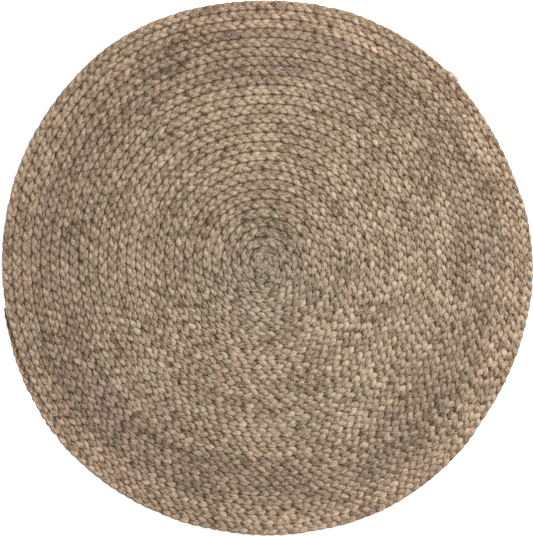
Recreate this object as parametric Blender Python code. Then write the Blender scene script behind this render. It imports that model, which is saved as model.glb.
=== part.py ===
"""Round braided rug.

One flat three-strand braid starts in a small round knot at the eye, winds outward clockwise as
seen from above and ends in a tail that thins into the rim. A lacing thread joins the edges of
neighbouring turns and lies in the groove between them. The braid is divided on one radial line
into turns, each its own solid. The rug lies flat on z = 0 and its box is centred on the origin.
"""

import math

import bmesh
import bpy

# Overall sizes, in metres
ROW_PITCH = 0.01612  # distance from one turn of braid to the next
BRAID_THICKNESS = 0.010
FULL_TURNS = 27  # turns of braid outside the centre start

# Section of the braid: a flat base, rounded edges and a flat crown
CROWN_WIDTH = 0.006
BASE_WIDTH = 0.009
EDGE_HEIGHT = 0.0045  # height of the widest point above the floor

# Centre start and tail
START_TURNS = 0.917  # braid that is worked into the centre start, in turns
TAIL_DIRECTION = math.radians(192)  # where the tail ends, counter-clockwise from +X
TAIL_LENGTH = 0.235  # rounded to whole runs, so that its corners meet those of the turn inside it
TAIL_TIP_WIDTH = 0.004
TAIL_TIP_THINNING = 0.6  # thickness at the tip as a share of the braid's

# Lacing thread: a wedge that fills the foot of the groove
THREAD_WIDTH = 0.003

# Clearance between pieces that touch on the real rug
FIT_GAP = 0.0003

# Straight runs in one turn. The fine count is twice the coarse one, so that corners line up.
COARSE_RUNS = 18
FINE_RUNS = 36
COARSE_TURNS = 7

# Zones of colour, as the last turn of each, and their colours (linear)
ZONES = (
    (1, "jute_centre", (0.32, 0.25, 0.18)),
    (19, "jute_field", (0.37, 0.28, 0.19)),
    (24, "jute_mauve_band", (0.31, 0.23, 0.16)),
    (FULL_TURNS, "jute_rim", (0.39, 0.28, 0.19)),
)
THREAD_COLOUR = (0.20, 0.15, 0.10)
JUTE_ROUGHNESS = 0.9

HALF_WIDTH = (ROW_PITCH - FIT_GAP) / 2
LAST_TURN = START_TURNS + FULL_TURNS
MESH_RADIUS = 1.0  # radius at which a section is spun before it is moved to its row


def clear_scene():
    """Remove every object in the file."""
    for old in list(bpy.data.objects):
        bpy.data.objects.remove(old, do_unlink=True)


def make_material(name, colour):
    """Matte fibre in one colour."""
    material = bpy.data.materials.new(name)
    material.use_nodes = True
    shader = material.node_tree.nodes["Principled BSDF"]
    shader.inputs["Base Color"].default_value = (*colour, 1.0)
    shader.inputs["Roughness"].default_value = JUTE_ROUGHNESS
    shader.inputs["Metallic"].default_value = 0.0
    return material


def add_object(name, bm, material, collection, parent):
    """Turn a finished bmesh into a named object under the rug's eye."""
    bm.normal_update()
    bmesh.ops.recalc_face_normals(bm, faces=bm.faces)
    mesh = bpy.data.meshes.new(name)
    bm.to_mesh(mesh)
    bm.free()
    mesh.materials.append(material)
    mesh.shade_smooth()
    mesh.set_sharp_from_angle(angle=math.radians(30))
    piece = bpy.data.objects.new(name, mesh)
    piece.parent = parent
    collection.objects.link(piece)
    return piece


def braid_section():
    """Corners of the braid's section as (offset across the row, height)."""
    return [
        (-BASE_WIDTH / 2, 0.0),
        (BASE_WIDTH / 2, 0.0),
        (HALF_WIDTH, EDGE_HEIGHT),
        (CROWN_WIDTH / 2, BRAID_THICKNESS),
        (-CROWN_WIDTH / 2, BRAID_THICKNESS),
        (-HALF_WIDTH, EDGE_HEIGHT),
    ]


def thread_section():
    """Corners of the thread's wedge, its sides parallel to the groove and FIT_GAP off them.

    Offsets are from the centre of the row outside the thread, whose inner seam is half a pitch in.
    """
    slope = (HALF_WIDTH - CROWN_WIDTH / 2) / (BRAID_THICKNESS - EDGE_HEIGHT)
    side_gap = FIT_GAP * math.hypot(1, slope)
    foot = EDGE_HEIGHT + (side_gap - FIT_GAP / 2) / slope
    top = foot + THREAD_WIDTH / 2 / slope
    seam = -ROW_PITCH / 2
    return [
        (seam, foot),
        (seam + THREAD_WIDTH / 2, top),
        (seam - THREAD_WIDTH / 2, top),
    ]


def tail_taper(offset, height, share):
    """Thin the section towards the tail's tip while its inner edge stays on the seam."""
    width = 1 + share * (TAIL_TIP_WIDTH / (2 * HALF_WIDTH) - 1)
    thickness = 1 + share * (TAIL_TIP_THINNING - 1)
    return -HALF_WIDTH + (offset + HALF_WIDTH) * width, height * thickness


def wind(section, first, last, runs, taper=None):
    """Sweep a section along the spiral from one turn count to another.

    The section is spun about the eye, then each corner is moved out by the pitch times the turns
    it has gone. Both ends stop half of FIT_GAP short. The sweep is one turn at most.
    """
    bm = bmesh.new()
    corners = [bm.verts.new((MESH_RADIUS + offset, 0, height)) for offset, height in section]
    face = bm.faces.new(corners)
    middle = ROW_PITCH * (first + last) / 2
    stop_short = FIT_GAP / 2 / middle
    sweep = math.tau * (last - first) - 2 * stop_short
    steps = max(1, round(runs * (last - first)))
    bmesh.ops.spin(
        bm,
        geom=[face, *face.edges, *face.verts],
        cent=(0, 0, 0),
        axis=(0, 0, 1),
        angle=-sweep,
        steps=steps,
    )
    start = TAIL_DIRECTION + math.tau * (LAST_TURN - first)
    for vert in bm.verts:
        turned = -math.atan2(vert.co.y, vert.co.x)
        if turned < -stop_short / 2:
            turned += math.tau
        offset = math.hypot(vert.co.x, vert.co.y) - MESH_RADIUS
        height = vert.co.z
        if taper:
            offset, height = taper(offset, height, turned / sweep)
        turned += stop_short
        radius = ROW_PITCH * (first + turned / math.tau) + offset
        direction = start - turned
        vert.co = (radius * math.cos(direction), radius * math.sin(direction), height)
    return bm


def ring_edges(bm, ring):
    """Edges round a closed ring of corners, made where they are missing."""
    pairs = zip(ring, ring[1:] + ring[:1])
    return [bm.edges.get(pair) or bm.edges.new(pair) for pair in pairs]


def centre_start():
    """The knot at the eye: a spiral outline, lofted from base to edge to crown.

    Its rim follows the first turn's inner seam, and its one step meets that turn's cut end.
    """
    levels = (
        (BASE_WIDTH / 2 - HALF_WIDTH, 0.0),
        (0.0, EDGE_HEIGHT),
        (CROWN_WIDTH / 2 - HALF_WIDTH, BRAID_THICKNESS),
    )
    bm = bmesh.new()
    rings = []
    for inset, height in levels:
        ring = []
        for station in range(COARSE_RUNS + 1):
            turned = station / COARSE_RUNS
            rim = ROW_PITCH * (START_TURNS + turned - 0.5) - FIT_GAP / 2 + inset
            direction = TAIL_DIRECTION - math.tau * turned
            if station in (0, COARSE_RUNS):
                direction += FIT_GAP / rim
            ring.append(bm.verts.new((rim * math.cos(direction), rim * math.sin(direction), height)))
        rings.append(ring)
    bm.faces.new(rings[0])
    bm.faces.new(rings[-1])
    for low, high in zip(rings, rings[1:]):
        bmesh.ops.bridge_loops(bm, edges=ring_edges(bm, low) + ring_edges(bm, high))
    return bm


def zone_material(turn, materials):
    """Material of the colour zone that a turn lies in."""
    for last, name, _ in ZONES:
        if turn <= last:
            return materials[name]
    return materials[ZONES[-1][1]]


def centre_box(parts, eye):
    """Place the eye so that the rug's box is centred on the origin."""
    points = [vert.co for part in parts for vert in part.data.vertices]
    xs = [point.x for point in points]
    ys = [point.y for point in points]
    eye.location = (-(min(xs) + max(xs)) / 2, -(min(ys) + max(ys)) / 2, 0)


def build_rug():
    """Model every turn, the centre start, the tail and the lacing thread."""
    collection = bpy.data.collections.new("braided_rug")
    bpy.context.scene.collection.children.link(collection)
    eye = bpy.data.objects.new("rug_eye", None)
    collection.objects.link(eye)
    materials = {name: make_material(name, colour) for _, name, colour in ZONES}
    thread = make_material("lacing_thread", THREAD_COLOUR)

    parts = [add_object("braid_centre_start", centre_start(), zone_material(0, materials),
                        collection, eye)]
    tail_runs = max(1, round(FINE_RUNS * TAIL_LENGTH / (math.tau * ROW_PITCH * LAST_TURN)))
    tail_turns = tail_runs / FINE_RUNS
    for turn in range(1, FULL_TURNS + 1):
        runs = COARSE_RUNS if turn <= COARSE_TURNS else FINE_RUNS
        first = START_TURNS + turn - 1
        last = first + 1
        body_end = last - tail_turns if turn == FULL_TURNS else last
        parts.append(add_object(f"braid_turn_{turn:02d}", wind(braid_section(), first, body_end, runs),
                                zone_material(turn, materials), collection, eye))
        parts.append(add_object(f"lacing_thread_{turn:02d}", wind(thread_section(), first, last, runs),
                                thread, collection, eye))
    tail = wind(braid_section(), LAST_TURN - tail_turns, LAST_TURN, FINE_RUNS, tail_taper)
    parts.append(add_object("braid_tail", tail, zone_material(FULL_TURNS, materials), collection, eye))
    centre_box(parts, eye)


clear_scene()
build_rug()
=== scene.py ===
# %% [markdown]
# # A round braided jute rug
#
# The rug is one long flat braid of three jute strands. It starts in a small knot at the eye,
# winds outward clockwise and thins into a tail at the rim. A lacing thread runs in the seam
# between neighbouring turns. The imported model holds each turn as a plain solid. Here every turn
# is plaited from real strands that follow the same spiral rule.

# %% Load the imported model
import math

import bmesh
import bpy
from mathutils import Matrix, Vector


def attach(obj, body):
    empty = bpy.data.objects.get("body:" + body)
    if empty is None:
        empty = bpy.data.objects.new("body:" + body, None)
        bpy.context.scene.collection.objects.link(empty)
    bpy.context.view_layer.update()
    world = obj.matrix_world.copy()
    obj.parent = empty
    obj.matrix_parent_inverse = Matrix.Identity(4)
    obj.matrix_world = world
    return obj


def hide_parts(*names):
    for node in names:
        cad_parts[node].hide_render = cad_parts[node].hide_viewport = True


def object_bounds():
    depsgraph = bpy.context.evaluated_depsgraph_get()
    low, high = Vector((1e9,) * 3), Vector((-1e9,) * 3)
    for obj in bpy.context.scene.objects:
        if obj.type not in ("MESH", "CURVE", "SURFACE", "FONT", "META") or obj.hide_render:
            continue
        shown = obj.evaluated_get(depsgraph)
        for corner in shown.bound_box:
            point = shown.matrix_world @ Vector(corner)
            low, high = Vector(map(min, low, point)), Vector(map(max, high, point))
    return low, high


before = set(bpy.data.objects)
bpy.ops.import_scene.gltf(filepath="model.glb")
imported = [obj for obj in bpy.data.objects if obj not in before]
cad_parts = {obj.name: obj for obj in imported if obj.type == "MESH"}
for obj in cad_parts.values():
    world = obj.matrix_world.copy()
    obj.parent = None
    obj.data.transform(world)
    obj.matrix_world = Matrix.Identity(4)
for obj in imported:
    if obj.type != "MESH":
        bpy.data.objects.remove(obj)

cad_low, cad_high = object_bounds()
print("packed model:", [round(1000 * size, 1) for size in cad_high - cad_low], "mm")

# %% [markdown]
# ## The spiral rule
#
# Count turns from the eye. The middle of the braid lies at the row pitch times the turn count,
# and its direction turns back clockwise as the count grows. The rule is written once in Python,
# for the few places that need a point, and once in nodes, for everything that follows the braid.

# %% Sizes of the braid, in metres and turns
ROW_PITCH = 0.01612
START_TURNS = 0.917  # braid worked into the centre start
FULL_TURNS = 27
LAST_TURN = START_TURNS + FULL_TURNS
TAIL_DIRECTION = math.radians(192)
TAIL_TURNS = 3 / 36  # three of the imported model's 36 straight runs in a turn
TAIL_TIP_WIDTH = 0.25  # share of the braid's width at the tip
TAIL_TIP_HEIGHT = 0.6


def direction_at(turn):
    """Direction of the braid from the eye, counter-clockwise from +X."""
    return TAIL_DIRECTION + math.tau * (LAST_TURN - turn)


def rim_point(turn):
    """Outer edge of the braid at a turn count, measured from the eye."""
    share = max(0.0, (turn - LAST_TURN + TAIL_TURNS) / TAIL_TURNS)
    width = ROW_PITCH * (1 + share * (TAIL_TIP_WIDTH - 1))
    radius = ROW_PITCH * (turn - 0.5) + width
    return Vector((radius * math.cos(direction_at(turn)), radius * math.sin(direction_at(turn)), 0))


RIM_STEPS = 36
rim = [rim_point(LAST_TURN - 1 + step / RIM_STEPS) for step in range(RIM_STEPS + 1)]
rim_middle = Vector([
    (min(point[axis] for point in rim) + max(point[axis] for point in rim)) / 2
    for axis in range(3)])
eye = (cad_low + cad_high) / 2 - rim_middle
eye.z = 0
rug_radius = ROW_PITCH * LAST_TURN
print("eye of the spiral at", [round(1000 * value, 2) for value in eye], "mm")

# %% [markdown]
# ## Camera
#
# The rug is seen from straight above, so a long lens from high up keeps every row round. The
# sensor's width belongs to the longer side of the picture, which is its height here.

# %% Camera straight above
CAMERA_HEIGHT = 4.0
CAMERA_SENSOR = 0.036
PICTURE_HEIGHT = 0.9007  # metres of rug across the longer side
CAMERA_AIM = (eye.x + 0.0044, eye.y - 0.0090)  # the drifted outline is a little off its eye

camera_data = bpy.data.cameras.new("camera")
camera_data.sensor_width = 1000 * CAMERA_SENSOR
camera_data.lens = 1000 * CAMERA_SENSOR * CAMERA_HEIGHT / PICTURE_HEIGHT
camera_data.clip_end = 50
camera = bpy.data.objects.new("camera", camera_data)
camera.location = (*CAMERA_AIM, CAMERA_HEIGHT)
bpy.context.scene.collection.objects.link(camera)
bpy.context.scene.camera = camera
print("lens", round(camera_data.lens, 1), "mm")

# %% [markdown]
# ## Nodes written as formulas
#
# The shapes and the finishes are both made of nodes, and long sums of nodes are hard to read.
# One small class wraps a socket, so that a formula looks like Python. Any other node comes from
# its one method, which takes the node's type, its settings and what goes into its sockets.


# %% A socket that can be added and multiplied
class Wire:
    """One output of a node. Made without a socket, it is the place where a tree starts."""

    def __init__(self, tree, socket=None):
        self.tree = tree
        self.socket = socket

    def node(self, kind, settings=None, values=None, output=0):
        """Add a node: its settings first, then each input as a value, a wire or a list of wires."""
        made = self.tree.nodes.new(kind)
        for name, value in (settings or {}).items():
            setattr(made, name, value)
        for name, value in (values or {}).items():
            socket = self.pick(made.inputs, name)
            for part in value if isinstance(value, list) else [value]:
                if isinstance(part, Wire):
                    self.tree.links.new(part.socket, socket)
                else:
                    socket.default_value = part
        return Wire(self.tree, self.pick(made.outputs, output)) if made.outputs else None

    def other(self, output):
        """Another output of the node that this wire comes from."""
        return Wire(self.tree, self.pick(self.socket.node.outputs, output))

    @staticmethod
    def pick(sockets, name):
        """The socket in use with this name or number."""
        in_use = [socket for socket in sockets if socket.enabled]
        if isinstance(name, int):
            return in_use[name]
        return next(socket for socket in in_use if socket.name == name)

    def math(self, operation, *values):
        return self.node("ShaderNodeMath", {"operation": operation}, dict(enumerate(values)))

    def __add__(self, other):
        return self.math("ADD", self, other)

    def __radd__(self, other):
        return self.math("ADD", other, self)

    def __sub__(self, other):
        return self.math("SUBTRACT", self, other)

    def __rsub__(self, other):
        return self.math("SUBTRACT", other, self)

    def __mul__(self, other):
        return self.math("MULTIPLY", self, other)

    def __rmul__(self, other):
        return self.math("MULTIPLY", other, self)

    def __truediv__(self, other):
        return self.math("DIVIDE", self, other)

    def __rtruediv__(self, other):
        return self.math("DIVIDE", other, self)

    def __pow__(self, other):
        return self.math("POWER", self, other)

    def __gt__(self, other):
        return self.math("GREATER_THAN", self, other)

    def sin(self):
        return self.math("SINE", self)

    def cos(self):
        return self.math("COSINE", self)

    def exp(self):
        return self.math("EXPONENT", self)

    def floor(self):
        return self.math("FLOOR", self)

    def at_least(self, other):
        return self.math("MAXIMUM", self, other)

    def at_most(self, other):
        return self.math("MINIMUM", self, other)

    def between(self, low, high):
        """0 below low and 1 above high, with a smooth ramp from one to the other."""
        values = {"Value": self, "From Min": low, "From Max": high}
        return self.node("ShaderNodeMapRange", {"interpolation_type": "SMOOTHSTEP"}, values)

    def vector(self, x, y, z):
        return self.node("ShaderNodeCombineXYZ", None, {0: x, 1: y, 2: z})

    def vectors(self, operation, *values):
        """Vector Math, whose result is a vector or a number."""
        return self.node("ShaderNodeVectorMath", {"operation": operation}, dict(enumerate(values)))

    def scaled(self, factor):
        """This vector times a number."""
        return self.vectors("SCALE", self, factor)

    def plus(self, other):
        """This vector plus another."""
        return self.vectors("ADD", self, other)

    def flat(self):
        """This vector without its height."""
        return self.vectors("MULTIPLY", self, (1, 1, 0))

    def axis(self, name):
        """The X, Y or Z of this vector."""
        return self.node("ShaderNodeSeparateXYZ", None, {0: self}, output=name)

    def noise(self, scale, detail=2.0, output="Fac"):
        """Smooth noise that reads this vector."""
        values = {"Vector": self, "Scale": scale, "Detail": detail}
        return self.node("ShaderNodeTexNoise", None, values, output)


print("formulas ready")

# %% Helpers for the shape trees
FLOAT, WHOLE, SHAPE = "NodeSocketFloat", "NodeSocketInt", "NodeSocketGeometry"
MATERIAL, COLLECTION = "NodeSocketMaterial", "NodeSocketCollection"
PLACE, INDEX = "GeometryNodeInputPosition", "GeometryNodeInputIndex"


def floats(*labels):
    """Inputs of a tree that take plain numbers."""
    return [(label, FLOAT) for label in labels]


def new_shape_tree(name, inputs):
    """A Geometry Nodes tree with named inputs. Returns it, its start and its inputs as wires."""
    tree = bpy.data.node_groups.new(name, "GeometryNodeTree")
    for label, kind in inputs:
        tree.interface.new_socket(label, in_out="INPUT", socket_type=kind)
    tree.interface.new_socket("Geometry", in_out="OUTPUT", socket_type=SHAPE)
    opening = tree.nodes.new("NodeGroupInput")
    wires = {label: Wire(tree, opening.outputs[label]) for label, _ in inputs}
    return tree, Wire(tree), wires


def noted(start, label):
    """Read a number that an earlier step left on the shape."""
    return start.node("GeometryNodeInputNamedAttribute", {"data_type": "FLOAT"}, {"Name": label})


def note(start, shape, values, kind="FLOAT"):
    """Leave numbers or vectors on every point of a shape, for a later step."""
    for label, value in values.items():
        shape = start.node(
            "GeometryNodeStoreNamedAttribute", {"data_type": kind, "domain": "POINT"},
            {"Geometry": shape, "Name": label, "Value": value})
    return shape


def move(start, shape, **where):
    """Put the points of a shape at a Position, or move them by an Offset."""
    return start.node("GeometryNodeSetPosition", None, {"Geometry": shape, **where})


print("helpers for shape trees ready")

# %% [markdown]
# ## Hand-made drift
#
# Nobody winds a braid perfectly. Rows wander by a millimetre or two, and the whole rug bulges in
# some directions and is pulled in at others. One sub-tree moves every point by smooth noise and
# by a few named pushes, so that strands, thread and loose fibres all drift together.

# %% The drift, shared by everything that is wound
DRIFT_AMOUNT = 0.0045
DRIFT_SCALE = 9.0  # about one swing in a tenth of a metre
REACH_POWER = 1.5  # a push dies out towards the eye
PUSHES = (  # direction in degrees, push outward at the rim in metres, half-width in degrees
    (28, -0.0070, 12),
    (85, -0.0045, 22),
    (102, -0.0026, 10),
    (120, 0.0042, 15),
    (172, -0.0038, 40),
    (262, -0.0010, 8),
    (298, 0.0066, 22),
    (332, -0.0032, 11),
    (352, 0.0014, 10),
)


def drift_tree():
    """Moves a wound shape from the plain spiral to where a hand would have laid it."""
    tree, start, given = new_shape_tree("hand_made_drift", [("Shape", SHAPE)])
    flat = start.node(PLACE).flat()
    outward = start.vectors("NORMALIZE", flat)
    push = None
    for degrees, amount, spread in PUSHES:
        towards = (math.cos(math.radians(degrees)), math.sin(math.radians(degrees)), 0)
        sharpness = 1 / math.radians(spread) ** 2
        bump = ((start.vectors("DOT_PRODUCT", outward, towards) - 1) * sharpness).exp() * amount
        push = bump if push is None else push + bump
    reach = (start.vectors("LENGTH", flat) / rug_radius) ** REACH_POWER
    wander = flat.noise(DRIFT_SCALE, 1.0, output="Color")
    sideways = start.vectors("SUBTRACT", wander, (0.5, 0.5, 0.5)).flat()
    offset = outward.scaled(push * reach).plus(sideways.scaled(DRIFT_AMOUNT)).plus(tuple(eye))
    moved = move(start, given["Shape"], Offset=offset)
    start.node("NodeGroupOutput", None, {"Geometry": moved})
    return tree


drift = drift_tree()
print("drift:", len(PUSHES), "pushes and noise of", 1000 * DRIFT_AMOUNT, "mm")

# %% [markdown]
# ## One strand of the braid
#
# In a flat three-strand braid each strand swings from edge to edge and passes over and under the
# other two. Seen along the braid its middle draws a flat figure of eight: the swing is a sine, and
# the height is a sine of twice the angle. The three strands are a third of a period apart. The
# strand is a bundle, so its section is an oval that turns over with the strand at each edge.
#
# A strand could be modelled once and repeated, but every row bends differently. A formula on the
# spiral puts each strand where it is, and Curve to Mesh gives it its body. Each stretch of strand
# ends where it passes under its neighbours, so that no join between two turns shows.
#
# Along its length the strand is uneven in spacing, thickness and place, by three noises. It swells
# where it lies on top, which makes the pebbly lobes of a plait. What a finish needs to know is left
# on the mesh: how far along the strand a point lies, where round it, and how high it rides.

# %% Sizes of a strand, in metres
CROSSING_LENGTH = 0.0496  # braid length in which a strand swings out and back
SWING = 0.0054
EDGE_DWELL = 0.08  # how much longer a strand runs along the edge than a plain sine would
LIFT = 0.0026
MIDDLE_HEIGHT = 0.005
HALF_STRAND_WIDTH = 0.0046
HALF_STRAND_HEIGHT = 0.0033
BULGE = 0.32  # how much a strand swells where it lies on top
UNDER_SWELL = 0.2  # and where it passes under, as a share of that
STRANDS = 3
STEPS_PER_CROSSING = 20
STRAND_SIDES = 12
UNDER_PHASE = 3 / 8  # share of a period at which a strand lies lowest
FIRST_LENGTH = 0.0015  # where the strands start at the eye
SPACING_WOBBLE, SPACING_SCALE = 0.019, 9.0
THICK_AND_THIN, THICKNESS_SCALE = 0.55, 42.0
SIDE_WOBBLE, SIDE_SCALE = 0.0034, 55.0
STRAND_APART = 7.3  # far enough apart in the noise that no two strands are alike
THICKNESS_LAYER, SIDE_LAYER = (0, 3.1, 0), (0, 0, 5.7)  # and no two noises
ROUNDING = 0.01  # keeps a whole number of steps from being rounded down
BAND_WIDTH = 0.024  # skin of one strand, laid flat
BAND_FILL = 0.92  # share of a band that the skin covers
RING_CLOSES = 0.6  # only where its ring closes is a face's side number so far past a corner's
print("strand", 2000 * HALF_STRAND_WIDTH, "x", 2000 * HALF_STRAND_HEIGHT, "mm before it swells")

# %% Steps that the strands, the stray end and the lacing share


def arc_length(turn, pitch):
    """Length of braid from the eye to a turn count, by the spiral's rule."""
    return turn * turn * pitch * math.pi


def unrolled(start, body, count, sides, number, of, length):
    """Lay a tube's skin flat on a square map, its length folded into bands above each other."""
    station, side = noted(start, "station"), noted(start, "side")
    on_faces = {"data_type": "FLOAT", "domain": "FACE"}
    face_station, face_side = (
        start.node("GeometryNodeFieldOnDomain", on_faces, {"Value": value})
        for value in (station, side))
    bands = ((length / (of * BAND_WIDTH)) ** 0.5 + 0.5).floor().at_least(1)
    columns = ((count - 2) / bands).floor() + 1
    band = (face_station / columns).floor()
    wrapped = side + (face_side - side > RING_CLOSES) * sides
    map_x = station / columns - band
    map_y = number * bands + band + (1 - BAND_FILL) / 2 + wrapped / sides * BAND_FILL
    place = start.vector(map_x, map_y / (bands * of), 0.0)
    on_corners = {"data_type": "FLOAT2", "domain": "CORNER"}
    return start.node("GeometryNodeStoreNamedAttribute", on_corners,
                      {"Geometry": body, "Name": "OFBake", "Value": place})


def numbered_line(start, count):
    """A line with so many points, for a formula to bend, and the number of each point."""
    line = start.node("GeometryNodeCurvePrimitiveLine")
    line = start.node("GeometryNodeResampleCurve", None, {"Curve": line, "Count": count})
    return line, start.node(INDEX)


def on_spiral(start, radius, turns_left, rise):
    """Place at a radius and a height, in the braid's direction so many turns before its tail."""
    direction = turns_left * math.tau + TAIL_DIRECTION
    return start.vector(radius * direction.cos(), radius * direction.sin(), rise)


def ring(start, sides, radius=1.0):
    """A circle to sweep along a line."""
    sizes = {"Resolution": sides, "Radius": radius}
    return start.node("GeometryNodeCurvePrimitiveCircle", None, sizes)


def oval_section(start, sides, half_width, half_height):
    """An oval to sweep along a line. It remembers where round it each point lies."""
    section = ring(start, sides)
    unit = start.node(PLACE)
    section = note(start, section, {"around": unit}, "FLOAT_VECTOR")
    section = note(start, section, {"side": start.node(INDEX)})
    oval = start.vectors("MULTIPLY", unit, start.vector(half_width, half_height, 1.0))
    return move(start, section, Position=oval)


def tube(start, line, section, size=1.0):
    """A section swept along a line, with closed ends."""
    return start.node("GeometryNodeCurveToMesh", None, {
        "Curve": line, "Profile Curve": section, "Scale": size, "Fill Caps": True})


print("shared steps ready")

# %% The strand as a sub-tree


def strand_tree():
    """One strand between two turn counts, as a closed mesh relative to the eye."""
    tree, start, given = new_shape_tree("strand", [
        *floats("From turn", "To turn", "Strand number", "Row pitch", "Crossing length", "Swing",
                "Lift", "Middle height", "Half width", "Half height", "Steps"),
        ("Sides", WHOLE)])
    pitch, crossing = given["Row pitch"], given["Crossing length"]
    number = given["Strand number"]
    step = crossing / given["Steps"]

    def under(turn):
        """Length at the under-pass nearest to a turn count."""
        passed = arc_length(turn, pitch) / crossing - UNDER_PHASE + number / STRANDS
        return ((passed + 0.5).floor() + UNDER_PHASE - number / STRANDS) * crossing

    first = under(given["From turn"]).at_least(FIRST_LENGTH)
    last = under(given["To turn"])
    count = ((last - first) / step + ROUNDING).floor() + 1
    line, index = numbered_line(start, count)
    length = last - (count - 1 - index) * step

    turn = (length / (pitch * math.pi)) ** 0.5
    uneven = start.vector(length, number * STRAND_APART, 0.0)
    spacing = (uneven.noise(SPACING_SCALE, 2.0) - 0.5) * SPACING_WOBBLE
    phase = (length + spacing) / crossing * math.tau + number * (math.tau / STRANDS)
    share = ((turn - (LAST_TURN - TAIL_TURNS)) / TAIL_TURNS).at_least(0).at_most(1)
    width = 1 - share * (1 - TAIL_TIP_WIDTH)
    height = 1 - share * (1 - TAIL_TIP_HEIGHT)
    thickness = uneven.plus(THICKNESS_LAYER).noise(THICKNESS_SCALE, 1.0)
    thickness = 1 + (thickness - 0.5) * THICK_AND_THIN
    wobble = (uneven.plus(SIDE_LAYER).noise(SIDE_SCALE, 1.0) - 0.5) * SIDE_WOBBLE
    swing = phase.sin() * (1 + EDGE_DWELL) + (phase * 3).sin() * EDGE_DWELL
    across = (swing * given["Swing"] + wobble) * width - (1 - width) * pitch * 0.5
    over = (phase * 2).sin()
    rise = (given["Middle height"] + over * given["Lift"]) * height
    place = on_spiral(start, pitch * turn + across, LAST_TURN - turn, rise)
    line = move(start, line, Position=place)
    line = start.node("GeometryNodeSetCurveNormal", {"mode": "Z_UP"}, {"Curve": line})
    turn_over = (1 - phase.cos()) * (math.pi / 2)
    line = start.node("GeometryNodeSetCurveTilt", None, {"Curve": line, "Tilt": turn_over})
    body_size = thickness * (width * height) ** 0.5 * (1 + over.at_least(UNDER_SWELL) * BULGE)

    section = oval_section(start, given["Sides"], given["Half width"], given["Half height"])
    line = note(start, line, {"along": length, "strand": number, "station": index, "over": over})
    body = tube(start, line, section, body_size)
    body = unrolled(start, body, count, given["Sides"], number, STRANDS, last - first)
    start.node("NodeGroupOutput", None, {"Geometry": body})
    return tree


strand = strand_tree()
braid_length = math.pi * ROW_PITCH * LAST_TURN ** 2
print("braid", round(braid_length, 2), "m long, and each strand crosses it",
      round(braid_length / CROSSING_LENGTH), "times")

# %% [markdown]
# ## A turn of braid
#
# The tree for a turn joins three strands, drifts them and gives them their finish. The same tree
# makes the centre start, every turn and the tail, with other turn counts at its inputs.
#
# Plain strands would look like rope. Noise along the normals makes lumps where fibres bunch.
# Neighbouring rows are laced tight, so a strand that bulges past its row is pressed back, and the
# row's edges dip a little. The rows of this rug are looser on one side than on the other: there
# the seams are deeper and their painted shade darker, so they are easier to see. Anything that
# would hang below the floor is laid flat.

# %% Lumps, pressed seams and a flat underside
LUMP_SCALE = 170.0  # lumps some 6 mm across, where fibres bunch
LUMP_HEIGHT = 0.0026
OPEN_SIDE = math.radians(112)  # where the rows lie loosest; they are tightest opposite
PRESS_FROM = (0.0082, -0.0007)  # offset where squeezing starts, and its change on the open side
PRESS_LEFT = 0.3  # share of the bulge that is left
EDGE_DIP = (0.03, 0.20)  # how much lower a row's edge lies, as a share: everywhere, open side
DIP_POWER = 1.7
PATCHES_ROUND, PATCHINESS = 2.6, 1.4  # looser and tighter places on the way round
OPENNESS_POWER = 1.3


def looseness(start, outward):
    """0 on the tight side of the rug and about 1 on the open side, more here and less there."""
    towards = (math.cos(OPEN_SIDE), math.sin(OPEN_SIDE), 0)
    facing = start.vectors("DOT_PRODUCT", outward, towards)
    patchy = (outward.noise(PATCHES_ROUND, 2.0) - 0.5) * PATCHINESS + 1
    return (facing * 0.5 + 0.5) ** OPENNESS_POWER * patchy


def pressed(start, body, pitch):
    """Squeeze the strands between their rows and note how near the seam each point lies."""
    turn = (noted(start, "along") / (pitch * math.pi)) ** 0.5
    place = start.node(PLACE)
    flat = place.flat()
    outward = start.vectors("NORMALIZE", flat)
    across = start.vectors("LENGTH", flat) - turn * pitch
    side = (across > 0) * 2 - 1
    loose = looseness(start, outward)
    press_from = loose * PRESS_FROM[1] + PRESS_FROM[0]
    bulge = (side * across - press_from).at_least(0) * (turn > START_TURNS)
    inward = side * bulge * (PRESS_LEFT - 1)
    on_rim = (across > 0) * (turn > LAST_TURN - 1)
    nearness = side * across / (pitch * 0.5) * (1 - on_rim)
    dip_share = loose * EDGE_DIP[1] + EDGE_DIP[0]
    dip = place.axis("Z") * dip_share * nearness.at_most(1) ** DIP_POWER * -1
    # the seam note tells the finish where to paint the groove's shade; the rim's outer edge gets
    # none
    body = note(start, body, {"seam": nearness})
    return move(start, body, Offset=outward.scaled(inward).plus(start.vector(0.0, 0.0, dip)))


def laid(start, body):
    """Flatten whatever hangs below the floor."""
    below = (-9, -9, 0)  # only the height is limited
    return move(start, body, Position=start.vectors("MAXIMUM", start.node(PLACE), below))


def lumpy(start, body):
    """Swell and shrink a body along its normals."""
    swell = (start.node(PLACE).noise(LUMP_SCALE, 2.0) - 0.5) * LUMP_HEIGHT
    return move(start, body, Offset=start.node("GeometryNodeInputNormal").scaled(swell))


def drifted(start, body):
    """Move a body by the shared drift."""
    return start.node("GeometryNodeGroup", {"node_tree": drift}, {"Shape": body})


def give_out(start, body, finish):
    """Make a body real, give it its finish and end the tree."""
    body = start.node("GeometryNodeRealizeInstances", None, {"Geometry": body})
    body = start.node("GeometryNodeSetMaterial", None, {"Geometry": body, "Material": finish})
    start.node("NodeGroupOutput", None, {"Geometry": body})


def smooth(start, body):
    """Shade a body as one smooth surface."""
    return start.node("GeometryNodeSetShadeSmooth", None, {"Geometry": body})


print("rows are loosest towards", round(math.degrees(OPEN_SIDE)), "degrees")

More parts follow.
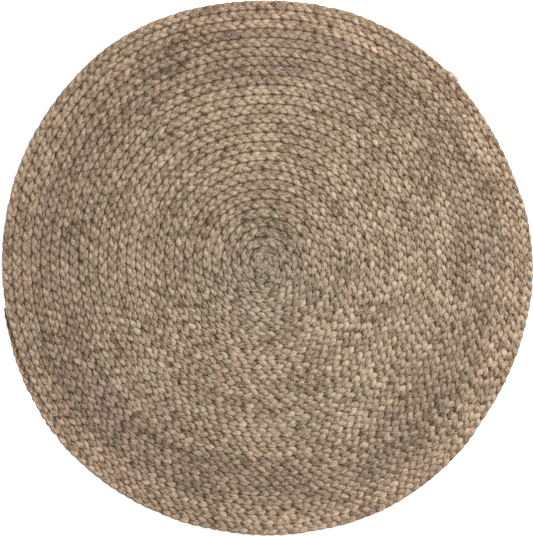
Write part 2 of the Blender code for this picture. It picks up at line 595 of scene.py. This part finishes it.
# %% The braid tree
STRAND_SIZES = {  # names are those of the strand tree's inputs
    "Row pitch": ROW_PITCH, "Crossing length": CROSSING_LENGTH, "Swing": SWING, "Lift": LIFT,
    "Middle height": MIDDLE_HEIGHT, "Half width": HALF_STRAND_WIDTH,
    "Half height": HALF_STRAND_HEIGHT, "Steps": float(STEPS_PER_CROSSING), "Sides": STRAND_SIDES,
}


def braid_tree():
    """Three strands between two turn counts, drifted and given their finish."""
    sizes = [(name, WHOLE if name == "Sides" else FLOAT) for name in STRAND_SIZES]
    tree, start, given = new_shape_tree(
        "braid", [*floats("From turn", "To turn"), *sizes, ("Finish", MATERIAL)])
    shared = {name: given[name] for name in ("From turn", "To turn", *STRAND_SIZES)}
    strands = [start.node("GeometryNodeGroup", {"node_tree": strand},
                          {**shared, "Strand number": float(number)}) for number in range(STRANDS)]
    body = start.node("GeometryNodeJoinGeometry", None, {"Geometry": strands})
    body = laid(start, pressed(start, lumpy(start, body), given["Row pitch"]))
    give_out(start, smooth(start, drifted(start, body)), given["Finish"])
    return tree


braid = braid_tree()
print("braid tree with", len(braid.nodes), "nodes")

# %% Grow a piece from its tree
HELPERS = ("along", "strand", "around", "seam", "over", "station", "side", "id", "OFBake")
KEPT_ON_STRANDS = ("along", "strand", "around", "seam", "over", "OFBake")  # for finish and bake


def grow(name, tree, inputs, keep=()):
    """Run a tree on an empty object and keep the result, and these attributes, as a plain mesh."""
    piece = bpy.data.objects.new(name, bpy.data.meshes.new(name))
    bpy.context.scene.collection.objects.link(piece)
    modifier = piece.modifiers.new(name, "NODES")
    modifier.node_group = tree
    for item in tree.interface.items_tree:
        if item.in_out == "INPUT" and item.name in inputs:
            modifier[item.identifier] = inputs[item.name]
    depsgraph = bpy.context.evaluated_depsgraph_get()
    mesh = bpy.data.meshes.new_from_object(
        piece.evaluated_get(depsgraph), preserve_all_data_layers=True, depsgraph=depsgraph)
    piece.modifiers.remove(modifier)
    piece.data = mesh
    for label in [layer.name for layer in mesh.attributes if layer.name in HELPERS]:
        if label not in keep:
            mesh.attributes.remove(mesh.attributes[label])
    shape = bmesh.new()
    shape.from_mesh(mesh)
    bmesh.ops.recalc_face_normals(shape, faces=shape.faces)
    shape.to_mesh(mesh)
    shape.free()
    return piece


def triangles(piece):
    """How many triangles a piece comes to."""
    return sum(len(face.vertices) - 2 for face in piece.data.polygons)


print(len(KEPT_ON_STRANDS), "notes stay on a strand's mesh")

# %% [markdown]
# ## Jute
#
# Jute is a bast fibre: pale straw to brown, with long streaks along the strand. A strand drifts
# from pale to dark over a hand's width, because it is spun from many short fibres, and whole
# batches lean to pink or to olive. Specks of bark stay in it. Shade is painted into the colour:
# down in the seams, on the side of a strand, which its neighbour shades, where a strand dives
# under its neighbours, and on every low part, in a warm brown as of light bounced in the fibre.
#
# A picture of jute would repeat and would stretch round the bends. Instead the finish reads
# attributes that the strand tree left on the mesh: how far along the strand a point lies and
# where on its section. Streaks made from these follow every strand through the braid. Patches that
# cross from row to row read a point's direction and its distance from the eye, so they are
# swept along the rows.

# %% Helpers for the finishes


def from_screen(red, green, blue):
    """A colour as seen on a screen, 0 to 255, made linear for the shader."""
    return tuple(((c / 255 + 0.055) / 1.055) ** 2.4 for c in (red, green, blue)) + (1.0,)


def lighter(colour, factor):
    """The same colour with more or less light."""
    return tuple(channel * factor for channel in colour[:3]) + (1.0,)


def stepped(colour, step):
    """A screen colour made paler or darker by the same step in each channel, as worn fibre is."""
    return from_screen(*(channel + step for channel in colour))


def blend(factor, first, second):
    """A wire's worth of the second colour in the first."""
    return factor.node("ShaderNodeMix", {"data_type": "RGBA"},
                       {"Factor": factor, "A": first, "B": second}, output="Result")


def shaded(colour, factor):
    """A colour times a brightness wire, or a wire of colour times a tint."""
    wire = factor if isinstance(factor, Wire) else colour
    return wire.node("ShaderNodeMix", {"data_type": "RGBA", "blend_type": "MULTIPLY"},
                     {"Factor": 1.0, "A": colour, "B": factor}, output="Result")


def toned(share, colour, tint):
    """A wire of colour, tinted where the share is high."""
    return blend(share, colour, shaded(colour, tint))


def painted(start, label, output="Fac"):
    """Read in a finish what a shape tree left on the mesh."""
    return start.node("ShaderNodeAttribute", {"attribute_name": label}, output=output)


def new_finish(name):
    """An empty material and the place where its nodes start."""
    material = bpy.data.materials.new(name)
    material.use_nodes = True
    material.node_tree.nodes.clear()
    return material, Wire(material.node_tree)


def cover(start, colour, **values):
    """End a finish with its one shader."""
    values = {name.replace("_", " "): value for name, value in values.items()}
    shader = start.node("ShaderNodeBsdfPrincipled", None, {"Base Color": colour, **values})
    start.node("ShaderNodeOutputMaterial", None, {"Surface": shader})


print("helpers for finishes ready")

# %% Colours of jute, and where each of them lies
BARK = from_screen(84, 56, 38)
PINK = from_screen(147, 114, 102)
OLIVE = from_screen(140, 124, 96)
MAUVE = from_screen(136, 115, 107)
RUST = from_screen(150, 103, 68)
CREAM = from_screen(197, 180, 162)
DARK_STEP, PALE_STEP = -56, 48
BUNDLE_RADIUS = 0.0035  # size of a strand's section as the streaks see it
STREAK_SHARE = 0.25  # under 1 draws the streaks out along the strand
STRAND_LAYER, OWN_LAYER = 3.7, 5.3  # keep the three strands apart in the noises
BATCH_LAYER, PINK_LAYER, COOL_LAYER = (0, 0, 2.0), (3.1, 0, 0), (0, 7.7, 0)
TONE_NOISES = {  # scale and detail of each noise, and its share in how pale the fibre is
    "fine": (1500.0, 3.0, 1.5),
    "coarse": (520.0, 1.0, 1.0),
    "stretch": (44.0, 1.0, 0.9),
    "grit": (430.0, 2.0, 1.4),  # tufts some 2 mm across
    "batch": (8.0, 2.0, 0.8),
    "patch": (30.0, 2.0, 0.6),
}
PATCH_LENGTH = 0.12  # patches of colour follow the rows, and are longer than wide
PINK_SCALE, PINK_RANGE, PINK_SHARE = 22.0, (0.48, 0.72), 0.18
COOL_SCALE, COOL_RANGE = 20.0, (0.50, 0.74)
WASH_LIFT = 0.55  # brightness of a wash on the darkest fibre
FLECKS = (  # colour, layer, scale and detail of its noise, range, share (None: as asked)
    (RUST, 9.0, 60.0, 1.0, (0.70, 0.80), None),
    (CREAM, 5.0, 50.0, 1.0, (0.66, 0.80), 0.5),
    (BARK, 7.0, 75.0, 2.0, (0.62, 0.71), 0.7),
)
SEAM_RANGE = (0.45, 1.0)  # where the groove's painted shade starts and is full, 1 being the seam
DIVE_RANGE = (-0.2, 0.75)  # 1 is the top of a lobe, 0 the side where the strand dives and painted shade falls
DEPTH_RANGE = (0.003, 0.0095)  # heights between which the painted shade fades
WORN_RANGE = (0.03, 0.17)  # distances from the eye over which the greyer middle fades
WORN_TINT = (0.87, 0.90, 0.93, 1.0)
# painted shade: one warm dark tint for the seams, the dives and the flanks
PAINTED_SHADE_TINT = (0.52, 0.385, 0.245, 1.0)
# painted shade on low parts, warm as light bounced among the fibres
DEPTH_SHADE_TINT = (0.83, 0.58, 0.33, 1.0)
KNOT_SCALE, KNOT_RANGE, KNOT_SHARE = 62.0, (0.66, 0.74), 0.6  # only the peaks are dark knots
FLANK_RANGE = (0.50, 1.0)  # 1 is the side of a strand, where its neighbours shade it
TOP_RANGE = (0.0, 0.7)  # a flank is shaded only where the strand lies on top
GROOVE_OPEN, GROOVE_TIGHT = 0.52, 0.03  # the groove's painted shade, on the open side and everywhere
# strength of the painted shade where a strand dives and on its flank
DIVE_SHARE, FLANK_SHARE = 0.38, 0.42
RELIEF_FINE, RELIEF_GRIT = 0.4, 0.9  # against 1 for the coarse streaks
BUMP_STRENGTH, BUMP_DISTANCE = 0.9, 0.0014
ROUGHEST, SILKY = 0.85, 0.2  # single pale fibres are a little silkier
print(len(TONE_NOISES), "noises make the tone of jute")

# %% The jute finish


def jute(name, straw, specks, cool=OLIVE, cool_share=0.15):
    """Streaky matte fibre that follows the strand, round a mean colour, with painted shade."""
    material, start = new_finish(name)
    along, which = painted(start, "along"), painted(start, "strand")
    around = painted(start, "around", "Vector")
    place = start.node("ShaderNodeTexCoord", output="Object")
    from_eye = place.plus(tuple(-eye))
    outward, distance = start.vectors("NORMALIZE", from_eye), start.vectors("LENGTH", from_eye)
    swept = outward.scaled(PATCH_LENGTH).plus(start.vector(0.0, 0.0, distance))

    bundle = around.scaled(BUNDLE_RADIUS).plus(
        start.vector(which * STRAND_LAYER, 0.0, along * STREAK_SHARE))
    own = start.vector(along, which * OWN_LAYER, 0.0)
    read_at = {"fine": bundle, "coarse": bundle, "stretch": own, "grit": place,
               "batch": own.plus(BATCH_LAYER), "patch": swept}
    noises = {}
    tone = 0.5
    for label, (scale, detail, share) in TONE_NOISES.items():
        noises[label] = read_at[label].noise(scale, detail)
        tone = tone + (noises[label] - 0.5) * share
    tone = tone.at_least(0).at_most(1)
    colour = blend(tone, stepped(straw, DARK_STEP), stepped(straw, PALE_STEP))

    pink = swept.plus(PINK_LAYER).noise(PINK_SCALE, 2.0).between(*PINK_RANGE)
    washed = swept.plus(COOL_LAYER).noise(COOL_SCALE, 2.0).between(*COOL_RANGE)
    colour = blend(pink * PINK_SHARE, colour, shaded(PINK, tone + WASH_LIFT))
    colour = blend(washed * cool_share, colour, shaded(cool, tone + WASH_LIFT))
    for fleck, layer, scale, detail, limits, share in FLECKS:
        here = own.plus((0, 0, layer)).noise(scale, detail).between(*limits)
        colour = blend(here * (specks if share is None else share), colour, fleck)
    knots = place.noise(KNOT_SCALE, 1.0).between(*KNOT_RANGE)
    colour = blend(knots * KNOT_SHARE, colour, BARK)

    colour = toned(1 - distance.between(*WORN_RANGE), colour, WORN_TINT)
    # Painted shade: seams, most on the open side, dives, shaded flanks and low parts
    near_seam = painted(start, "seam").between(*SEAM_RANGE)
    groove = near_seam * (looseness(start, outward) * GROOVE_OPEN + GROOVE_TIGHT)
    colour = toned(groove, colour, PAINTED_SHADE_TINT)
    over = painted(start, "over")
    dive = 1 - over.between(*DIVE_RANGE)
    colour = toned(dive * DIVE_SHARE, colour, PAINTED_SHADE_TINT)
    sideways = around.axis("X")
    flank = ((sideways * sideways) ** 0.5).between(*FLANK_RANGE)
    flank = flank * over.between(*TOP_RANGE) * (1 - near_seam)
    colour = toned(flank * FLANK_SHARE, colour, PAINTED_SHADE_TINT)
    colour = toned(1 - place.axis("Z").between(*DEPTH_RANGE), colour, DEPTH_SHADE_TINT)

    relief = noises["fine"] * RELIEF_FINE + noises["coarse"] + noises["grit"] * RELIEF_GRIT
    bump = start.node("ShaderNodeBump", None, {
        "Height": relief, "Strength": BUMP_STRENGTH, "Distance": BUMP_DISTANCE}, output="Normal")
    cover(start, colour, Roughness=ROUGHEST - noises["fine"] * SILKY, Normal=bump,
          Sheen_Weight=0.15, Sheen_Roughness=0.5, Specular_IOR_Level=0.33)
    return material


finishes = {
    "jute_centre": jute("jute_centre", (122, 106, 82), 0.2),
    "jute_field": jute("jute_field", (128, 110, 86), 0.3),
    "jute_mauve_band": jute("jute_mauve_band", (117, 98, 75), 0.3, MAUVE, 0.32),
    "jute_rim": jute("jute_rim", (131, 110, 86), 0.8),
}
print("finishes:", sorted(finishes))

# %% [markdown]
# ## Plaiting the rug
#
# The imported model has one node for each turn, so there is one piece here for each of them. The
# zones of colour follow the turns: a greyish centre, the straw field, a browner band and the rim.

# %% Plait every turn
ZONES = ((1, "jute_centre"), (19, "jute_field"), (24, "jute_mauve_band"), (FULL_TURNS, "jute_rim"))
plaits = bpy.data.collections.new("plaits")
bpy.context.scene.collection.children.link(plaits)
START_SIZES = {"Crossing length": 0.037}  # the first turn is worked tighter
FOLDED_SIZES = {  # the end folded into a knot inside it, as a smaller coil of the same plait
    "Row pitch": 0.0100, "Crossing length": 0.030, "Swing": 0.0034, "Middle height": 0.0044,
    "Half width": 0.0046, "Half height": 0.0032}
FOLDED_TURNS = 1.6


def plait(name, first, last, turn, node, other_sizes=()):
    """Make one stretch of braid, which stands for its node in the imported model."""
    slot = next(slot for end, slot in ZONES if turn <= end)
    inputs = {**STRAND_SIZES, **dict(other_sizes), "From turn": first, "To turn": last}
    piece = grow(name, braid, {**inputs, "Finish": finishes[slot]}, keep=KEPT_ON_STRANDS)
    plaits.objects.link(piece)
    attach(piece, "root")
    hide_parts(node)
    return piece


made = [plait("plait_centre_start", 0.0, START_TURNS, 0, "braid_centre_start", START_SIZES),
        plait("plait_folded_end", 0.0, FOLDED_TURNS, 0, "braid_centre_start", FOLDED_SIZES)]
for number in range(1, FULL_TURNS + 1):
    first = START_TURNS + number - 1
    last = LAST_TURN - TAIL_TURNS if number == FULL_TURNS else first + 1
    made.append(plait(f"plait_turn_{number:02d}", first, last, number, f"braid_turn_{number:02d}"))
made.append(plait("plait_tail", LAST_TURN - TAIL_TURNS, LAST_TURN, FULL_TURNS, "braid_tail"))
print(len(made), "stretches of braid,", sum(map(triangles, made)), "triangles, largest",
      max(map(triangles, made)))

# %% [markdown]
# ## The stray end
#
# At the upper right of the rim one strand was pieced with a new one, and its old end was left
# lying along the outside, pale and frayed. It is not a stretch of braid, so it has its own small
# tree: a tapered tube that follows the rim for a few centimetres and stands a little proud.

# %% The stray strand end
STRAY_TURN = 27.320  # where it leaves the braid
STRAY_LENGTH = 0.030
STRAY_STEPS = 20
STRAY_SIDES = 16
STRAY_RADIUS = 0.0054
STRAY_FLATNESS = 0.8  # height of its section as a share of the width
STRAY_START, STRAY_END = 0.0035, 0.0084  # offsets from the row's middle
STRAY_HEIGHT, STRAY_LIFT = 0.0052, 0.0008
STRAY_LEAVES, STRAY_RISES = (0, 0.7), (0, 0.3)  # shares of its length
STRAY_SWELLS, STRAY_STOPS = (0, 0.45), (0.8, 1.0)
STRAY_THINNEST, STRAY_SWELL, STRAY_THINNING = 0.55, 0.5, 0.4  # shares of its radius


def stray_tree():
    """A strand's cut end that lies along the rim and ends bluntly."""
    tree, start, given = new_shape_tree("stray_end", [
        *floats("From turn", "Length", "Row pitch", "Radius"), ("Finish", MATERIAL)])
    count = STRAY_STEPS + 1
    line, index = numbered_line(start, count)
    share = index / STRAY_STEPS
    length = share * given["Length"]
    row = given["Row pitch"] * given["From turn"]
    turn = given["From turn"] + length / (row * math.tau)
    radius = row + share.between(*STRAY_LEAVES) * (STRAY_END - STRAY_START) + STRAY_START
    rise = STRAY_HEIGHT + share.between(*STRAY_RISES) * STRAY_LIFT
    line = move(start, line, Position=on_spiral(start, radius, LAST_TURN - turn, rise))
    line = start.node("GeometryNodeSetCurveNormal", {"mode": "Z_UP"}, {"Curve": line})
    taper = STRAY_THINNEST + share.between(*STRAY_SWELLS) * STRAY_SWELL
    taper = taper - share.between(*STRAY_STOPS) * STRAY_THINNING
    section = oval_section(start, STRAY_SIDES, given["Radius"], given["Radius"] * STRAY_FLATNESS)
    body = tube(start, note(start, line, {"along": length, "station": index}), section, taper)
    body = unrolled(start, body, count, STRAY_SIDES, 0, 1, given["Length"])
    body = note(start, body, {"strand": 0.0, "seam": 0.0, "over": 1.0})
    body = drifted(start, laid(start, lumpy(start, body)))
    give_out(start, smooth(start, body), given["Finish"])
    return tree


stray_end = grow("stray_end", stray_tree(), {
    "From turn": STRAY_TURN, "Length": STRAY_LENGTH, "Row pitch": ROW_PITCH, "Radius": STRAY_RADIUS,
    "Finish": jute("jute_stray", (168, 151, 127), 0.0)}, keep=KEPT_ON_STRANDS)
plaits.objects.link(stray_end)
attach(stray_end, "root")
print("stray end:", triangles(stray_end), "triangles")

# %% [markdown]
# ## Lacing
#
# One long thread joins each turn to the one inside it. It spirals round the seam, through the
# edge strands of both braids, so from above only short slanting stitches show down in the
# groove. It is a helix on the seam's own spiral, made by the same kind of formula as the strands.

# %% The lacing tree
STITCH_LENGTH = 0.0042
STITCH_REACH = 0.0020  # from the seam to the side
STITCH_DEPTH = 0.0015
THREAD_HEIGHT = 0.0054
THREAD_RADIUS = 0.0009
STEPS_PER_STITCH = 6
THREAD_SIDES = 4


def lacing_tree():
    """The lacing thread between two turn counts, as a closed tube round the seam."""
    tree, start, given = new_shape_tree("lacing", [
        *floats("From turn", "To turn", "Row pitch", "Stitch length", "Reach", "Depth", "Height",
                "Radius"),
        ("Finish", MATERIAL)])
    pitch = given["Row pitch"]
    step = given["Stitch length"] / STEPS_PER_STITCH
    first = (arc_length(given["From turn"] - 0.5, pitch) / step).floor()
    last = (arc_length(given["To turn"] - 0.5, pitch) / step).floor()
    count = last - first + 1
    line, index = numbered_line(start, count)
    length = (first + index) * step
    seam = (length / (pitch * math.pi)) ** 0.5
    phase = length / given["Stitch length"] * math.tau
    radius = seam * pitch + phase.cos() * given["Reach"]
    rise = given["Height"] + phase.sin() * given["Depth"]
    line = move(start, line, Position=on_spiral(start, radius, LAST_TURN - 0.5 - seam, rise))
    section = oval_section(start, THREAD_SIDES, given["Radius"], given["Radius"])
    body = tube(start, note(start, line, {"along": length, "station": index}), section)
    body = unrolled(start, body, count, THREAD_SIDES, 0, 1, (last - first) * step)
    give_out(start, smooth(start, drifted(start, body)), given["Finish"])
    return tree


lacing = lacing_tree()
print("lacing tree ready,", round(math.pi * ROW_PITCH * (LAST_TURN - 0.5) ** 2, 1), "m of seam")

# %% The lacing finish and the threads
TWIST_SCALE, TWIST_SHARE = 900.0, 0.6  # dark and pale by turns as the thread twists
AGE_SCALE, AGE_SHARE = 11.0, 0.4  # and over longer stretches
NOISE_RANGE = (0.3, 0.7)  # smooth noise seldom leaves it


def twine(name, colour):
    """Dull twisted thread, darker and paler by turns."""
    material, start = new_finish(name)
    along = painted(start, "along")
    twist = start.vector(along, 0.0, 0.0).noise(TWIST_SCALE, 2.0)
    age = start.vector(along, 4.0, 0.0).noise(AGE_SCALE, 1.0)
    tone = (twist * TWIST_SHARE + age * AGE_SHARE).between(*NOISE_RANGE)
    colour = blend(tone, lighter(colour, 0.6), lighter(colour, 1.4))
    cover(start, colour, Roughness=0.85, Specular_IOR_Level=0.25)
    return material


twine_finish = twine("lacing_thread", from_screen(106, 85, 58))
threads = []
for number in range(1, FULL_TURNS + 1):
    thread = grow(f"lacing_{number:02d}", lacing, {
        "From turn": START_TURNS + number - 1, "To turn": START_TURNS + number,
        "Row pitch": ROW_PITCH, "Stitch length": STITCH_LENGTH, "Reach": STITCH_REACH,
        "Depth": STITCH_DEPTH, "Height": THREAD_HEIGHT, "Radius": THREAD_RADIUS,
        "Finish": twine_finish}, keep=("along", "OFBake"))
    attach(thread, "root")
    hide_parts(f"lacing_thread_{number:02d}")
    threads.append(thread)
print(len(threads), "threads,", sum(map(triangles, threads)), "triangles")

# %% [markdown]
# ## Loose fibres
#
# Jute sheds. Short ends stand up from every strand and blur its outline. They are scattered over
# the real surface of the strands, so they never float, and each leans along the braid. One bent
# fibre with a few faces is instanced thousands of times and made real at the end. The tree runs
# twice: thinly over the whole rug, and thickly on the outer side of the last row, whose edge is
# furry since nothing holds it.

# %% The fibre tree
FIBRES_PER_SQUARE_METRE = 4800.0
FIBRES_ON_RIM = 110000.0
RIM_FROM = 0.004  # offset from the outermost row's middle where the rim starts
FIBRE_RADIUS = 0.018  # share of the fibre's length
FIBRE_LENGTHS = (0.003, 0.009)
FUZZ_LENGTHS = (0.003, 0.007)
FIBRE_STATIONS, FIBRE_SIDES = 4, 3
FIBRE_ROOT, FIBRE_BEND, FIBRE_TIP = (0, 0, -0.05), (0.35, 0, 0.42), (1.0, 0, 0.16)
FIBRE_SPREAD = 0.8
FIBRE_SEED = 7
LOWEST_FACING = -0.1  # fibres grow on faces that look up, or a little down


def bent_fibre(start, radius):
    """One fibre a unit long that rises from the origin and bends over along X."""
    bend = start.node("GeometryNodeCurveQuadraticBezier", None, {
        "Resolution": FIBRE_STATIONS - 1, "Start": FIBRE_ROOT, "Middle": FIBRE_BEND,
        "End": FIBRE_TIP})
    return tube(start, bend, ring(start, FIBRE_SIDES, radius))


def fibre_tree():
    """Loose fibres scattered over the upper faces of every stretch of braid."""
    tree, start, given = new_shape_tree("loose_fibres", [
        ("Plaits", COLLECTION),
        *floats("Density", "Rim density", "Fibre radius", "Shortest", "Longest"),
        ("Seed", WHOLE), ("Finish", MATERIAL)])
    plaited = start.node("GeometryNodeCollectionInfo", None, {"Collection": given["Plaits"]})
    plaited = start.node("GeometryNodeRealizeInstances", None, {"Geometry": plaited})
    upward = start.node("GeometryNodeInputNormal").axis("Z")
    from_eye = start.node(PLACE).plus(tuple(-eye))
    turn = (noted(start, "along") / (ROW_PITCH * math.pi)) ** 0.5
    on_rim = start.vectors("LENGTH", from_eye) > turn * ROW_PITCH + RIM_FROM
    on_rim = (turn > LAST_TURN - 1) * on_rim
    density = given["Density"] + on_rim * (given["Rim density"] - given["Density"])
    points = start.node("GeometryNodeDistributePointsOnFaces", None, {
        "Mesh": plaited, "Selection": upward > LOWEST_FACING, "Density": density,
        "Seed": given["Seed"]})
    normal = points.other("Normal")
    forward = start.vectors("NORMALIZE", start.vectors("CROSS_PRODUCT", from_eye, (0, 0, 1)))
    stray = start.node("FunctionNodeRandomValue", {"data_type": "FLOAT_VECTOR"}, {
        "Min": (-FIBRE_SPREAD,) * 3, "Max": (FIBRE_SPREAD,) * 3, "Seed": given["Seed"]})
    lean = start.node("FunctionNodeAxesToRotation", {"primary_axis": "Z", "secondary_axis": "X"}, {
        "Primary Axis": normal, "Secondary Axis": forward.plus(stray)})
    length = start.node("FunctionNodeRandomValue", {"data_type": "FLOAT"}, {
        "Min": given["Shortest"], "Max": given["Longest"], "Seed": given["Seed"] + 1})
    fibres = start.node("GeometryNodeInstanceOnPoints", None, {
        "Points": points, "Instance": bent_fibre(start, given["Fibre radius"]),
        "Rotation": lean, "Scale": length})
    fibres = start.node("GeometryNodeRealizeInstances", None, {"Geometry": smooth(start, fibres)})
    give_out(start, laid(start, fibres), given["Finish"])
    return tree


# %% Scatter the loose fibres
FIBRE_TONE_SCALE = 260.0


def loose(name, colour):
    """Single fibres: the same colours as the strands, paler, since no dirt holds on them."""
    material, start = new_finish(name)
    place = start.node("ShaderNodeTexCoord", output="Object")
    tone = place.noise(FIBRE_TONE_SCALE, 2.0).between(*NOISE_RANGE)
    colour = blend(tone, lighter(colour, 0.5), lighter(colour, 1.5))
    cover(start, colour, Roughness=0.8, Specular_IOR_Level=0.3)
    return material


fibre_finish = loose("jute_loose_fibre", from_screen(168, 148, 120))
scatter = fibre_tree()
for name, slot, densities, lengths in (
        ("loose_fibres", "jute_field", (FIBRES_PER_SQUARE_METRE, 0.0), FIBRE_LENGTHS),
        ("rim_fuzz", "jute_rim", (0.0, FIBRES_ON_RIM), FUZZ_LENGTHS)):
    fibres = grow(name, scatter, {
        "Plaits": plaits, "Density": densities[0], "Rim density": densities[1],
        "Fibre radius": FIBRE_RADIUS, "Shortest": lengths[0], "Longest": lengths[1],
        "Seed": FIBRE_SEED, "Finish": fibre_finish})
    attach(fibres, "root")
    print(name, triangles(fibres), "triangles")

# %% [markdown]
# ## Floor and light
#
# A pale floor and soft studio light keep attention on the weave. The floor glows a little, so that
# no shadow lies round the rim: painted light, for the floor is no lamp. It does not glow under the
# rug, where its light would come up between the strands, and there it is painted dark as shade.
# One broad lamp stands to the right and a little above the top of the picture, and the pale
# surroundings fill the shadows.

# %% Floor
FLOOR_GLOW = 0.62  # painted light: the floor glows, though no lamp, so no shadow lies round the rim
GLOW_RANGE = (0.415, 0.445)  # it starts under the rim, so that none comes up through the weave
FLOOR_RADIUS, FLOOR_DROP = 12, 0.0003
WHITE, BLACK = (1, 1, 1, 1), (0, 0, 0, 1)
FLOOR_PAINT = (0.9, 0.9, 0.9, 1)
COVERED_SHADE = (0.10, 0.07, 0.045, 1)  # painted shade under the rug, where the floor is never lit
bpy.ops.mesh.primitive_circle_add(
    vertices=96, radius=FLOOR_RADIUS, fill_type="NGON", location=(0, 0, -FLOOR_DROP))
floor = bpy.context.object
floor.name = "floor"
floor_finish, start = new_finish("floor_white")
place = start.node("ShaderNodeTexCoord", output="Object")
uncovered = start.vectors("LENGTH", place).between(*GLOW_RANGE)
cover(start, blend(uncovered, COVERED_SHADE, FLOOR_PAINT), Roughness=0.9,
      Emission_Color=blend(uncovered, BLACK, WHITE), Emission_Strength=FLOOR_GLOW)
floor.data.materials.append(floor_finish)
print("floor", 2 * FLOOR_RADIUS, "m across")

# %% Lamp and surroundings
LAMP_DIRECTION = math.radians(32)
LAMP_HEIGHT_ANGLE = math.radians(46)
LAMP_DISTANCE = 3.0
LAMP_SIZE = 1.1
LAMP_POWER = 132
SURROUNDINGS = 0.74  # strength of the light from all round
lamp_data = bpy.data.lights.new("key_lamp", "AREA")
lamp_data.shape = "DISK"
lamp_data.size = LAMP_SIZE
lamp_data.energy = LAMP_POWER
lamp = bpy.data.objects.new("key_lamp", lamp_data)
lamp.location = LAMP_DISTANCE * Vector((
    math.cos(LAMP_HEIGHT_ANGLE) * math.cos(LAMP_DIRECTION),
    math.cos(LAMP_HEIGHT_ANGLE) * math.sin(LAMP_DIRECTION),
    math.sin(LAMP_HEIGHT_ANGLE)))
lamp.rotation_euler = lamp.location.to_track_quat("Z", "Y").to_euler()
bpy.context.scene.collection.objects.link(lamp)
world = bpy.data.worlds.new("studio")
bpy.context.scene.world = world
world.use_nodes = True
surroundings = world.node_tree.nodes["Background"].inputs
surroundings["Color"].default_value = WHITE
surroundings["Strength"].default_value = SURROUNDINGS
bpy.context.scene.view_settings.view_transform = "Standard"
print("lamp at", [round(value, 2) for value in lamp.location])
